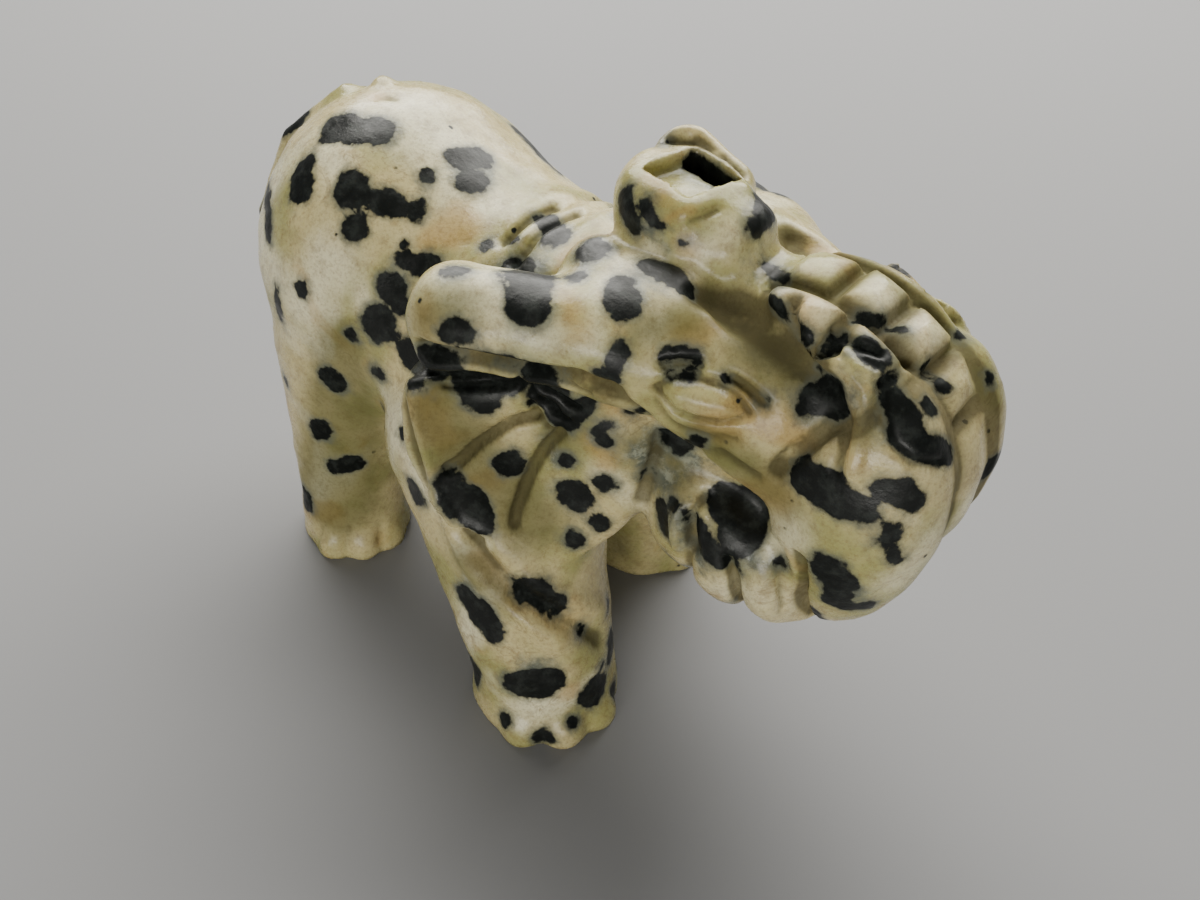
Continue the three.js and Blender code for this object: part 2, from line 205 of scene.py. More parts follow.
def groove(form, depth, width, *path):
    """Cuts a groove along a path; a negative depth raises a ridge."""
    away = bar(*[(*p, 0) for p in path])
    low = np.min(path, axis=0) - GROOVE_REACH * width
    high = np.max(path, axis=0) + GROOVE_REACH * width

    def field(p):
        d = form(p)
        near = ((p > low) & (p < high)).all(1) & (np.abs(d) < SKIN)
        d[near] += depth * fade(away(p[near]), width)
        return d

    return field


def torso():
    body = blend(
        3.5,
        egg((-12.3, 0.2, 20.6), (10.0, 10.2, 11.2), 0, 8),
        egg((-3, 0.4, 19.6), (11, 8.9, 9.3), 0, -4),
        egg((4, 0, 20.6), (8, 8.4, 8.9)),
    )
    neck = bar((3, 0, 22.4, 7), (11, 0, 23, 5.8))
    shoulders = blend(
        1,
        bar((-1.6, -6.4, 15.5, 4.7), (5.6, -8, 6.5, 4.5)),
        bar((-1.2, 6.2, 15.5, 4.7), (3.2, 7, 7.5, 4.3)),
    )
    legs = [leg(points, -1 if "right" in name else 1) for name, points in LEGS.items()]
    return blend(1.6, body, neck, shoulders, *legs)


def tail():
    return blend(
        0.6,
        bar((-15.3, 1, 31.1, 0.7), (-15.3, 1, 30, 0.9)),
        bar((-17.5, 0, 30, 0.9), (-20.6, -2.2, 26.8, 0.9), (-21.6, -4.4, 22, 0.8), (-20.6, -5.4, 16.5, 0.5)),
    )


def toes(foot, side):
    x, y, _, radius = foot
    reach = radius - TOE_INSET
    bumps = []
    for angle in TOE_ANGLES:
        a = math.radians(angle)
        at = (x + reach * math.cos(a), y + side * reach * math.sin(a))
        bumps.append(bar((*at, TOE_HEIGHT, TOE_RADIUS), (*at, FOOT_DEPTH, TOE_RADIUS)))
    return blend(0.1, *bumps)


def leg(points, side):
    return blend(0.5, bar(*points), toes(points[3], side))


def ear_fan():
    axes, c = turned(FAN["yaw"]), np.array(FAN["centre"], np.float32)

    def field(p):
        along, out, up = ((p - c) @ axes).T
        edge = (np.hypot(along / FAN["half_length"], up / FAN["half_height"]) - 1) * FAN["half_length"]
        dish = 0.8 * fade(along, 4) * fade(up + 1, 5)
        face = np.abs(out) - FAN["half_thickness"] + np.where(out < 0, dish, 0)
        fan = -smooth(-edge, -face, 1.2)
        return -smooth(-fan, FAN["top"] - p[:, 2], 0.8)

    return field


def ear():
    roll = bar((2.9, -10.2, 28.8, 2.75), (10, -7.2, 29.3, 2.6))
    form = blend(0.8, roll, ear_fan())
    rear_fold = ((7.7, -8.9, 24.6), (5.6, -10.6, 23.1), (4.3, -11.4, 21.4), (3.4, -12, 19.8))
    front_fold = ((9.1, -8.5, 23.9), (7.6, -9.5, 21.6), (6.9, -10, 19.1), (6.4, -10.2, 15.2))
    return groove(groove(form, 0.75, 0.5, *rear_fold), 0.75, 0.5, *front_fold)


def face():
    skull = egg((12, 0, 25.6), (8.5, 5.9, 6.4))
    forehead = bar((7.5, -4.2, 29.6, 2.8), (13, -3.8, 29.9, 2.6), (17.5, -3.3, 28.9, 2.5))
    brow = blend(2.5, bar((9.5, -7.2, 29.2, 2.6), (14, -5.2, 28.0, 2.7), (18.6, -3.7, 25.6, 2.7)), forehead)
    brow_left = mirrored(brow, (0, 0, -LEFT_DROP["brow"]))
    jaw = blend(
        0.4,
        egg((14.8, -3.4, 18.6), (3.4, 3.4, 4.2)),
        egg((17.4, -3.2, 17.9), (3.2, 3.6, 4.4)),
        egg((20.2, -2.8, 18.0), (3.0, 3.6, 4.4)),
    )
    muzzle_right = egg((22.4, -2.6, 23.5), (4.5, 3.9, 8.1), 0, -4)
    muzzle_left = egg((22.4, 2.6, 24.6), (4.5, 3.7, 6.6), 0, -4)
    form = blend(0.9, skull, brow, brow_left, both_sides(jaw), muzzle_right, muzzle_left)
    return groove(form, 0.8, 0.9, (22.6, -4.6, 13.5), (21.6, -5.4, 18), (20.4, -5.6, 20.5))


def notch(away):
    """Profile of the trunk's grooves: a narrow cut between rounded shoulders."""
    share = TRUNK_GROOVE["shoulder_share"]
    return (1 - share) * fade(away, TRUNK_GROOVE["width"]) + share * fade(away, TRUNK_GROOVE["shoulder"])


def wheel_cut(p):
    """Share of the full depth that the trunk's grooves have at each point, and how far the wheel's rim is."""
    x, y, z = p.T
    rim = np.hypot(x - WHEEL["x"], z - WHEEL["z"])
    angle = np.degrees(np.arctan2(z - WHEEL["z"], x - WHEEL["x"]))
    cut = np.maximum(notch(y - COLUMN_GROOVES["right"]), notch(y - COLUMN_GROOVES["left"]))
    near_side = y < COLUMN_GROOVES["right"]
    far_column = np.where(y > COLUMN_GROOVES["left"], FAR_COLUMN_SHARE, 1)
    for angles, here in ((SIDE_RING_ANGLES, near_side), (RING_ANGLES, ~near_side)):
        for at in angles:
            ring = notch(np.radians(angle - at) * WHEEL["radius"]) * far_column
            cut = np.where(here, np.maximum(cut, ring), cut)
    carved = (rim > WHEEL["radius"] - CARVED_SHELL) & (angle < CARVED_TO) & (angle > CARVED_FROM)
    return np.where(carved, cut, 0), rim


def trunk_wheel():
    def field(p):
        cut, rim = wheel_cut(p)
        a = rim - WHEEL["radius"] + WHEEL["round"]
        b = np.abs(p[:, 1] - WHEEL["y"]) - WHEEL["half_width"] + WHEEL["round"]
        d = np.hypot(np.maximum(a, 0), np.maximum(b, 0)) + np.minimum(np.maximum(a, b), 0) - WHEEL["round"]
        return d + np.where(np.abs(d) < SKIN, TRUNK_GROOVE["depth"] * cut, 0)

    return field


def head():
    eye = egg((14.5, -6.3, 27.7), (2.3, 1.5, 1.15), 24, -18)
    ridge_radius = 0.7
    ridge = ((18.2, -4.2, 31.8), (21.5, -4.3, 30.6), (22.9, -4.3, 28.4), (22.4, -4.6, 26.2))
    nose_ridge = bar(*[(*p, ridge_radius) for p in ridge])
    lobe = bar((11.4, -0.2, 32.0, 3.0), (8.5, -0.1, 33.0, 3.5))
    far_rim = bar((6.9, 2.4, 34.2, 1.8), (9.6, 2.3, 33.6, 1.5))
    rim = block((9.0, -0.5, 33.75), (2.6, 2.45, 1.6), 0.9, -12)
    trimmed = block((8.9, -1.2, 38.6), (3.4, 3.4, 3.3), 0.6, -12)
    hollow = block((8.95, -0.3, 37.55), (1.7, 1.65, 3.0), 0.2, -12)
    slot = block((9.2, 1.32, 35.4), (1.8, 0.46, 3.2), 0.15, -13)
    tip = blend(0.4, carve(0.5, blend(0.5, lobe, far_rim), trimmed), rim)
    tip = carve(0.15, carve(0.2, tip, hollow), slot)
    form = blend(0.5, blend(0.4, face(), trunk_wheel(), both_sides(eye), both_sides(nose_ridge)), tip)
    behind_wheel = ((14.2, 4.4, 31.6), (14.6, 1.5, 33.2), (14.4, -1.5, 33.2), (14.9, -3.8, 31.6))
    return groove(form, 1.4, 0.85, *behind_wheel)


def figure():
    right_ear = ear()
    left_ear = mirrored(right_ear, (0.4, 0, -LEFT_DROP["ear"]))
    form = blend(0.6, blend(0.9, torso(), head(), right_ear, left_ear), tail())
    under_brow = (
        (1.4, -11.7, 25.9), (7.5, -9.8, 26), (12.2, -7.4, 25), (15.4, -5.9, 22.8), (18.6, -4.9, 21.6),
    )
    valley = (
        (13.6, -3.4, 32.1), (15.2, -4.0, 31.9), (17.2, -4.8, 31.6), (19.4, -5.1, 30.9), (21.2, -5.0, 30.0),
    )
    for depth, width, path in ((0.9, 0.9, under_brow), (0.7, 1.0, valley)):
        form = groove(form, depth, width, *path)
        form = groove(form, depth, width, *[(x, -y, z) for x, y, z in path])
    rear_fold = ((1, -5, 29.6), (0.6, -2.5, 30), (0, 0, 29.8), (-0.5, 3, 29), (-0.5, 6, 26.5))
    front_fold = ((2.8, -5.3, 29.6), (2.3, -2.5, 30), (1.6, 0, 29.9), (1.3, 3, 29), (1.2, 6, 26.5))
    form = groove(groove(form, 0.5, 0.7, *rear_fold), 0.5, 0.7, *front_fold)
    return lambda p: -smooth(-form(p), p[:, 2], SOLE_EASE)


# Mesh of the field, on a grid that is coarser over the rump and legs and finer over the head, in modules
BODY_STEP = 0.5
HEAD_STEP = 0.29
SIDE_STEP = 0.3
HEAD_FROM = dict(x=-1.5, z=12.75)
SETTLING_ROUNDS = 3
CELL_MARGIN = 0.05
LEAST_STEEPNESS = 0.3


def grid_lines(*bands):
    """Places of the grid's planes, from bands of (start, end, step)."""
    lines = [bands[0][0]]
    for start, end, step in bands:
        count = max(1, round((end - start) / step))
        lines += [start + (end - start) * i / count for i in range(1, count + 1)]
    return np.array(lines, np.float32)


def sample(field, points, chunk=150_000):
    """The field at many points, a chunk at a time to spare the memory."""
    return np.concatenate([field(points[i : i + chunk]) for i in range(0, len(points), chunk)])


def slope(field, p, step=0.04):
    ahead = []
    for axis in range(3):
        q, r = p.copy(), p.copy()
        q[:, axis] += step
        r[:, axis] -= step
        ahead.append((sample(field, q) - sample(field, r)) / (2 * step))
    return np.stack(ahead, 1)


def surface_net(field, xs, ys, zs):
    """One point in each cell that the surface crosses, settled onto it, and a quad across each crossed edge.

    The quads turn so that their normals point out of the stone.
    """
    lines = (xs, ys, zs)
    shape = tuple(len(line) for line in lines)
    points = np.stack(np.meshgrid(*lines, indexing="ij"), -1).reshape(-1, 3)
    values = sample(field, points).reshape(shape)
    values[values == 0] = 1e-6
    inside = values < 0
    cells = tuple(n - 1 for n in shape)
    total, crossings = np.zeros((*cells, 3), np.float32), np.zeros(cells, np.float32)
    grid = points.reshape(*shape, 3)
    for axis in range(3):
        first = [slice(None)] * 3
        second = [slice(None)] * 3
        first[axis], second[axis] = slice(None, -1), slice(1, None)
        a, b = values[tuple(first)], values[tuple(second)]
        crossed = (a < 0) != (b < 0)
        t = np.where(crossed, a / np.where(crossed, a - b, 1), 0)
        at = grid[tuple(first)] + (grid[tuple(second)] - grid[tuple(first)]) * t[..., None]
        at *= crossed[..., None]
        u, v = [k for k in range(3) if k != axis]
        for du in (0, 1):
            for dv in (0, 1):
                part = [slice(None)] * 3
                part[u] = slice(du, du + cells[u])
                part[v] = slice(dv, dv + cells[v])
                total += at[tuple(part)]
                crossings += crossed[tuple(part)]
    used = crossings > 0
    index = np.full(cells, -1, np.int64)
    index[used] = np.arange(used.sum())
    place = np.stack(np.nonzero(used), 1)
    net = total[used] / crossings[used][:, None]
    low = np.stack([lines[k][place[:, k]] for k in range(3)], 1)
    high = np.stack([lines[k][place[:, k] + 1] for k in range(3)], 1)
    margin = CELL_MARGIN * (high - low)
    for _ in range(SETTLING_ROUNDS):
        g = slope(field, net)
        steep = np.maximum((g * g).sum(1), LEAST_STEEPNESS)
        net = np.clip(net - (sample(field, net) / steep)[:, None] * g, low + margin, high - margin)
    quads = []
    for axis in range(3):
        u, v = (axis + 1) % 3, (axis + 2) % 3
        core = [slice(None)] * 3
        ahead = [slice(None)] * 3
        core[axis], ahead[axis] = slice(None, -1), slice(1, None)
        for k in (u, v):
            core[k] = ahead[k] = slice(1, -1)
        a, b = inside[tuple(core)], inside[tuple(ahead)]
        at = np.stack(np.nonzero(a != b), 1)
        leaving = a[tuple(at.T)]
        at[:, u] += 1
        at[:, v] += 1
        ring = []
        for du, dv in ((0, 0), (1, 0), (1, 1), (0, 1)):
            q = at.copy()
            q[:, u] -= du
            q[:, v] -= dv
            ring.append(index[tuple(q.T)])
        quad = np.stack(ring, 1)
        quad[~leaving] = quad[~leaving][:, ::-1]
        quads.append(quad)
    return net, np.concatenate(quads)


xs = grid_lines((-24, HEAD_FROM["x"], BODY_STEP), (HEAD_FROM["x"], 29, HEAD_STEP))
ys = grid_lines((-15, 15, SIDE_STEP))
zs = grid_lines((-0.75, HEAD_FROM["z"], BODY_STEP), (HEAD_FROM["z"], 38, HEAD_STEP))
net, quads = surface_net(figure(), xs, ys, zs)
net[:, 2] = np.maximum(net[:, 2], 0)

# The carving's place in the frame: scaled to its length, centred over the floor's origin
low, high = net.min(0), net.max(0)
SCALE = LENGTH / float(high[0] - low[0])
CENTRE = np.array(((low[0] + high[0]) / 2, (low[1] + high[1]) / 2, 0), np.float32)


def to_frame(p):
    return (np.asarray(p, np.float32) - CENTRE) * SCALE


def add_object(name, data):
    made = bpy.data.objects.new(name, data)
    bpy.context.scene.collection.objects.link(made)
    return made


# Camera of the photograph

heading, down, roll = (math.radians(v) for v in (CAMERA_HEADING, CAMERA_DOWN, CAMERA_ROLL))
upward = Vector((0, 0, 1))
ahead = Vector((math.cos(heading), math.sin(heading), 0))
right = ahead.cross(upward)
look = math.cos(down) * ahead - math.sin(down) * upward
rise = math.sin(down) * ahead + math.cos(down) * upward
side_axis = math.cos(roll) * right + math.sin(roll) * rise
up_axis = -math.sin(roll) * right + math.cos(roll) * rise
camera_data = bpy.data.cameras.new("camera")
camera_data.sensor_width = SENSOR
camera_data.lens = SENSOR * FOCAL_PX / FRAME_WIDE
camera_data.clip_start = MM
camera = add_object("camera", camera_data)
camera_turn = Matrix((side_axis, up_axis, -look)).transposed()
camera.matrix_world = Matrix.Translation(Vector(to_frame(CAMERA_AT))) @ camera_turn.to_4x4()
bpy.context.scene.camera = camera


# Places on the carving, named by where the photograph shows them; a ray that misses the edge by a few pixels
# is tried again in a widening ring

rough_skin = BVHTree.FromPolygons([Vector(p) for p in net.tolist()], quads.tolist())
RINGS_PX = (0, 2, 4, 6, 8)
RING_TRIES = 8


def seen_at(x, y):
    """Point of the carving that the photograph shows x pixels across and y down."""
    ray = look + side_axis * ((x - FRAME_WIDE / 2) / FOCAL_PX) - up_axis * ((y - FRAME_HIGH / 2) / FOCAL_PX)
    for widen in RINGS_PX:
        for turn_by in range(RING_TRIES if widen else 1):
            a = math.tau * turn_by / RING_TRIES
            nudge = (side_axis * math.cos(a) + up_axis * math.sin(a)) * (widen / FOCAL_PX)
            hit = rough_skin.ray_cast(Vector(CAMERA_AT), (ray + nudge).normalized())[0]
            if hit:
                return np.array(hit, np.float32)
    raise ValueError(f"nothing of the carving shows at {x}, {y}")


def on_skin(p):
    """The place of the skin nearest to p."""
    return np.array(rough_skin.find_nearest(Vector(p))[0], np.float32)


def on_the_left(p, drop=0.0):
    """The place matching p on the figure's left side."""
    return on_skin((p[0], -p[1], p[2] - drop))


# Fine cuts: depth and width in modules, then the path in the photograph; a negative depth raises a ridge
EAR_CUTS = (
    (1.15, 0.52, (424, 352), (440, 357), (474, 363), (531, 375), (576, 382), (610, 394)),
    (0.34, 0.22, (428, 361), (450, 366), (495, 370), (528, 375)),
    (0.34, 0.22, (430, 372), (465, 376), (500, 377), (528, 378)),
    (0.30, 0.22, (446, 385), (478, 386), (508, 385), (526, 383)),
    (0.34, 0.22, (531, 377), (556, 384), (588, 396)),
    (0.34, 0.22, (529, 382), (551, 394), (579, 409)),
    (0.34, 0.22, (527, 387), (544, 403), (567, 421)),
    (0.30, 0.22, (524, 391), (535, 410), (549, 430)),
    (0.70, 0.30, (533, 418), (512, 423), (493, 435), (474, 449), (458, 464), (447, 470)),
    (0.65, 0.33, (560, 434), (545, 449), (533, 468), (524, 490), (516, 513), (514, 527)),
    (-0.30, 0.30, (413, 386), (412, 407), (425, 454), (434, 485), (457, 519), (480, 531)),
    (0.40, 0.35, (404, 397), (405, 412), (417, 458), (428, 492), (450, 524), (478, 540)),
)
FACE_CUTS = (
    (0.34, 0.15, (661, 362), (680, 359), (700, 360)),
    (0.34, 0.15, (664, 368), (682, 365), (702, 366)),
    (0.34, 0.15, (669, 374), (684, 372), (698, 372)),
    (-0.45, 0.75, (680, 396), (700, 401), (722, 405)),
    (0.38, 0.25, (656, 388), (670, 380), (698, 378), (719, 384), (737, 397), (748, 414)),
    (0.36, 0.24, (660, 394), (673, 409), (696, 418), (719, 421), (738, 418)),
    (0.24, 0.30, (654, 402), (672, 424), (706, 437), (735, 440)),
    (0.55, 0.28, (733, 378), (748, 388), (764, 404)),
    (-0.55, 0.42, (805, 341), (829, 358), (850, 373), (865, 388), (864, 413), (857, 450), (852, 470)),
    (0.62, 0.45, (831, 424), (813, 440), (787, 460), (777, 471)),
    (0.35, 0.40, (846, 424), (842, 450), (838, 470)),
    (0.65, 0.90, (704, 294), (738, 306), (772, 330), (800, 358), (826, 385)),
    (0.45, 0.45, (660, 436), (652, 470), (641, 500)),
    (0.30, 0.35, (609, 391), (644, 415), (675, 434), (720, 454), (757, 478)),
    (0.45, 0.30, (706, 495), (694, 508), (688, 522), (690, 540), (694, 548)),
    (-0.40, 0.30, (690, 503), (678, 512), (674, 528), (677, 545)),
    (0.22, 0.22, (778, 566), (781, 590), (783, 608)),
)
JAW_SLITS = (
    (0.55, 0.27, (692, 520), (690, 545), (688, 568)),
    (0.75, 0.29, (728, 562), (733, 580), (735, 596)),
    (1.05, 0.34, (797, 560), (799, 580), (801, 600)),
)
TRUNK_CUTS = (
    (0.70, 0.32, (794, 298), (789, 312), (790, 330), (799, 344), (818, 352), (834, 352)),
    (0.35, 0.24, (836, 330), (844, 338), (860, 346), (880, 352)),
    (-0.25, 0.22, (846, 352), (856, 364), (872, 374), (886, 378)),
    (0.45, 0.26, (884, 382), (892, 376), (904, 364)),
    (0.22, 0.24, (881, 390), (884, 420), (893, 446), (912, 462), (940, 464)),
)
BODY_CUTS = (
    (0.50, 0.32, (504, 240), (520, 226), (536, 214), (555, 205)),
    (0.45, 0.32, (514, 262), (526, 248), (540, 232), (562, 217), (577, 212)),
    (0.25, 0.35, (380, 97), (388, 95), (396, 98)),
    (-0.55, 0.80, (436, 500), (465, 555), (510, 605), (560, 640)),
    (0.40, 0.60, (468, 535), (505, 580), (550, 612), (600, 640)),
    (-0.35, 0.80, (500, 550), (545, 590), (600, 610)),
    (0.18, 0.35, (321, 526), (320, 536), (318, 546)),
    (0.18, 0.35, (349, 527), (348, 538), (346, 548)),
    (0.18, 0.35, (380, 524), (380, 533), (378, 542)),
)
TIP_CUTS = (
    (0.22, 0.22, (692, 222), (704, 217), (718, 209)),
    (0.45, 0.30, (668, 137), (695, 138), (722, 152), (744, 172)),
)
BODY_CUTS_ONE_SIDE = 3
UNDERSIDE_STEPS = (1.0, 2.0)


def traced(cuts, drop=None):
    """Paths of cuts in modules; with a drop, their matches on the left as well."""
    made = []
    for depth, width, *pixels in cuts:
        path = [seen_at(x, y) for x, y in pixels]
        made.append((depth, width, path))
        if drop is not None:
            made.append((depth, width, [on_the_left(p, drop) for p in path]))
    return made


def carried_under(cuts):
    """The cuts with their paths carried on round the underside, toward the figure's middle."""
    made = []
    for depth, width, path in cuts:
        inward = -np.sign(path[-1][1])
        reach = [path[-1] + np.array((0, inward * step, -step), np.float32) for step in UNDERSIDE_STEPS]
        made.append((depth, width, path + [on_skin(p) for p in reach]))
    return made


cuts = traced(EAR_CUTS, LEFT_DROP["ear"]) + traced(FACE_CUTS, 0.0) + traced(TRUNK_CUTS)
cuts += carried_under(traced(JAW_SLITS, 0.0))
cuts += traced(BODY_CUTS[:BODY_CUTS_ONE_SIDE]) + traced(BODY_CUTS[BODY_CUTS_ONE_SIDE:], 0.0)
cuts += traced(TIP_CUTS)

# Cuts narrower than FINE get a finer mesh to FINE_SPAN widths from them; the reaches are those of the search
FINE = 0.27
FINE_SPAN = 2.5
FINE_REACH = 1.2
CUT_REACH = 2.4


def near_cuts(p, reach):
    """For each point, the total depth of the cuts there and whether a fine one is in reach."""
    depth_here, fine_here = np.zeros(len(p), np.float32), np.zeros(len(p), bool)
    for depth, width, path in cuts:
        inside = ((p > np.min(path, axis=0) - reach) & (p < np.max(path, axis=0) + reach)).all(1)
        away = bar(*[(*q, 0) for q in path])(p[inside])
        depth_here[inside] += depth * fade(away, width)
        if width < FINE:
            fine_here[inside] |= away < FINE_SPAN * width
    return depth_here, fine_here


# Finer mesh where the cuts are fine
bm = bmesh.new()
for p in net.tolist():
    bm.verts.new(p)
bm.verts.ensure_lookup_table()
for quad in quads.tolist():
    bm.faces.new([bm.verts[i] for i in quad])
_, fine_here = near_cuts(net, FINE_REACH)
bm.verts.index_update()
fine_edges = [e for e in bm.edges if fine_here[e.verts[0].index] and fine_here[e.verts[1].index]]
bmesh.ops.subdivide_edges(bm, edges=fine_edges, cuts=1, use_grid_fill=True)
bmesh.ops.triangulate(bm, faces=[f for f in bm.faces if len(f.verts) > 4])
bm.normal_update()
places = np.array([v.co[:] for v in bm.verts], np.float32)
normals = np.array([v.normal[:] for v in bm.verts], np.float32)

# Low waves left by the carver's hand, and the cuts themselves; the soles stay flat
WAVE_HEIGHT = 0.05
WAVES = 10
RADIANS_PER_MODULE = (1.2, 2.6)
SOLE_TOP = 0.06
waves = np.zeros(len(places), np.float32)
chance = np.random.default_rng(11)
for _ in range(WAVES):
    direction = chance.normal(size=3)
    direction *= chance.uniform(*RADIANS_PER_MODULE) / np.linalg.norm(direction)
    waves += np.sin(places @ direction.astype(np.float32) + chance.uniform(0, math.tau))
cut_depth, _ = near_cuts(places, CUT_REACH)
moved = places - normals * (cut_depth + WAVE_HEIGHT * waves / math.sqrt(WAVES))[:, None]
on_sole = places[:, 2] < SOLE_TOP
moved[on_sole] = places[on_sole]
moved[:, 2] = np.maximum(moved[:, 2], 0)
for v, p in zip(bm.verts, moved.tolist()):
    v.co = p
mesh = bpy.data.meshes.new("carved_stone")
bm.to_mesh(mesh)
bm.free()
mesh.polygons.foreach_set("use_smooth", [True] * len(mesh.polygons))
mesh.vertices.foreach_set("co", to_frame(moved).ravel())
stone = add_object("carved_stone", mesh)
triangles = sum(len(f.vertices) - 2 for f in mesh.polygons)


# Dark spots: centre and radius in the photograph's pixels, in chains where a spot is long
RUMP_SPOTS = (
    ((338, 128, 19), (352, 130, 17)), ((379, 130, 16),), ((305, 167, 12), (300, 190, 13)),
    ((352, 187, 18),), ((386, 203, 13), (402, 208, 8)), ((418, 210, 9),), ((357, 228, 11),),
    ((462, 158, 14), (478, 158, 13)), ((472, 181, 14),), ((302, 288, 7),),
    ((267, 190, 6), (268, 215, 6), (269, 236, 4)), ((276, 288, 5), (280, 318, 6)),
    ((283, 122, 7), (297, 112, 7)), ((380, 323, 18),), ((352, 336, 6),),
    ((402, 262, 6), (425, 265, 10), (438, 262, 6)), ((393, 290, 15), (400, 304, 10)), ((333, 380, 14),),
    ((320, 430, 12),), ((336, 467, 8), (354, 463, 9)), ((379, 373, 7),), ((427, 175, 6),),
    ((488, 244, 6),), ((510, 240, 5),), ((520, 132, 8), (545, 150, 10), (562, 168, 5)),
    ((545, 216, 9), (556, 236, 13)), ((592, 250, 17),), ((578, 276, 8),), ((286, 380, 5),),
    ((404, 246, 3),),
)
EAR_SPOTS = (
    ((520, 276, 17), (532, 276, 18), (528, 304, 23)), ((450, 330, 12), (463, 332, 11)),
    ((445, 270, 4), (463, 270, 5)), ((622, 284, 10), (624, 304, 16)),
    ((424, 357, 10), (470, 361, 10), (515, 368, 10), (560, 381, 7)),
    ((410, 354, 14), (440, 366, 18), (470, 376, 18), (505, 380, 14), (530, 382, 10)), ((417, 380, 11),),
    ((482, 398, 17),), ((536, 376, 14), (550, 398, 22), (566, 420, 13), (588, 402, 8)),
    ((403, 431, 7),), ((415, 492, 14),), ((511, 463, 14),),
    ((450, 482, 12), (466, 503, 21), (484, 526, 9)), ((574, 496, 18),), ((603, 483, 11),),
    ((600, 524, 8),), ((575, 540, 9),), ((605, 441, 7),), ((596, 431, 4), (608, 424, 4)),
    ((628, 410, 5), (642, 415, 4)), ((568, 462, 5),), ((622, 350, 6), (616, 362, 8)),
    ((600, 378, 6), (611, 381, 5)),
)
FACE_SPOTS = (
    ((648, 264, 8), (668, 275, 12), (690, 286, 8)), ((666, 357, 4), (678, 353, 5), (697, 359, 3)),
    ((674, 375, 5), (688, 374, 5)), ((812, 400, 15), (832, 400, 21)), ((763, 403, 5),),
    ((724, 379, 4),), ((668, 440, 9), (682, 448, 8), (697, 440, 4)), ((648, 477, 6),),
    ((768, 300, 7), (782, 318, 10), (800, 342, 9)), ((728, 505, 20), (742, 512, 22), (740, 536, 20)),
    ((694, 522, 8), (702, 540, 12), (720, 562, 8)), ((660, 507, 7), (665, 530, 5)),
    ((674, 503, 6), (690, 509, 5)), ((727, 562, 5), (735, 570, 4)), ((777, 562, 5),),
    ((806, 477, 17), (836, 496, 19), (864, 508, 13)), ((878, 488, 11), (898, 490, 14), (914, 499, 10)),
    ((892, 528, 6), (886, 543, 5), (893, 558, 6)), ((828, 570, 16), (842, 584, 15), (838, 600, 8)),
    ((832, 600, 6), (850, 606, 9), (866, 606, 6)), ((812, 610, 5), (818, 617, 5)),
)
TRUNK_SPOTS = (
    ((864, 348, 12), (880, 358, 13)), ((893, 374, 5), (884, 384, 4)), ((926, 365, 5), (942, 383, 8)),
    ((893, 398, 8), (905, 425, 15), (918, 444, 14), (948, 456, 10)), ((930, 409, 7),),
    ((985, 470, 9), (1000, 460, 10)), ((962, 336, 4),), ((990, 379, 4),),
    ((826, 352, 4), (838, 342, 6)), ((770, 268, 6), (784, 276, 5)), ((862, 318, 4), (900, 330, 5)),
)
TIP_SPOTS = (
    ((624, 196, 9), (632, 222, 11)), ((645, 206, 9), (652, 222, 6), (662, 226, 3)),
    ((764, 204, 13), (757, 228, 9)), ((666, 139, 6),), ((760, 182, 5), (778, 186, 4)), ((683, 243, 2),),
)
LEG_SPOTS = (
    ((530, 588, 17), (548, 600, 12), (556, 606, 9)), ((466, 596, 9), (480, 613, 17), (494, 632, 11)),
    ((472, 664, 10), (476, 678, 8)), ((514, 684, 13), (534, 686, 20), (549, 681, 15)),
    ((595, 691, 17),), ((545, 735, 9),), ((505, 719, 6),), ((582, 632, 7),),
    ((612, 640, 10), (610, 656, 9)), ((606, 606, 6),), ((602, 665, 3),), ((573, 723, 4),),
)
SPOTS = RUMP_SPOTS + EAR_SPOTS + FACE_SPOTS + TRUNK_SPOTS + TIP_SPOTS + LEG_SPOTS

# Zones of colour, placed in the same way: grey clouds, painted shade over olive stone, painted shadow in the
# hollows, pale stone with painted light where most light falls, and rusty stains
CLOUDS = (
    ((668, 438, 26), (700, 462, 22)), ((672, 510, 22), (700, 560, 20)),
    ((748, 560, 16), (772, 566, 10)), ((632, 276, 20), (618, 306, 12)),
    ((782, 286, 20), (760, 262, 14)), ((690, 172, 16), (712, 180, 12)),
    ((590, 252, 18), (578, 276, 12)), ((402, 284, 14),), ((640, 225, 16), (662, 246, 10)),
    ((475, 172, 20),), ((545, 440, 9), (556, 462, 9)), ((850, 390, 16), (884, 430, 12)),
    ((600, 440, 12),), ((468, 586, 14),), ((858, 596, 16),), ((536, 668, 18),),
    ((640, 455, 22), (664, 480, 20)), ((684, 172, 10), (704, 188, 9)),
)
# Painted shade over the valley between brow and trunk, the ear's fan, the flank and the hind leg, partly the
# stone's darker olive
OLIVE_AND_SHADE_ZONES = (
    ((716, 308, 26), (752, 336, 34), (782, 364, 26)), ((440, 410, 34), (470, 460, 36), (530, 520, 34)),
    ((330, 500, 46), (345, 420, 40), (345, 350, 30)), ((690, 320, 22), (640, 330, 14)),
    ((455, 312, 22), (425, 320, 18)), ((640, 450, 22), (672, 470, 22)),
    ((600, 400, 12), (560, 440, 18)), ((770, 488, 26), (700, 440, 22)),
    ((466, 556, 18), (500, 592, 16)), ((740, 340, 24), (772, 368, 20)),
)
# Painted shadow, the darkest shade: the valley between brow and trunk, between cheek and jaw, the ear's lower
# front edge and beside the trunk
PAINTED_SHADOWS = (
    ((706, 298, 16), (735, 324, 26), (764, 350, 28), (792, 370, 16)), ((664, 452, 14), (690, 470, 12)),
    ((640, 512, 10), (618, 548, 10)), ((838, 432, 8), (812, 452, 8), (788, 470, 8)),
    ((872, 400, 10), (868, 440, 10)),
)
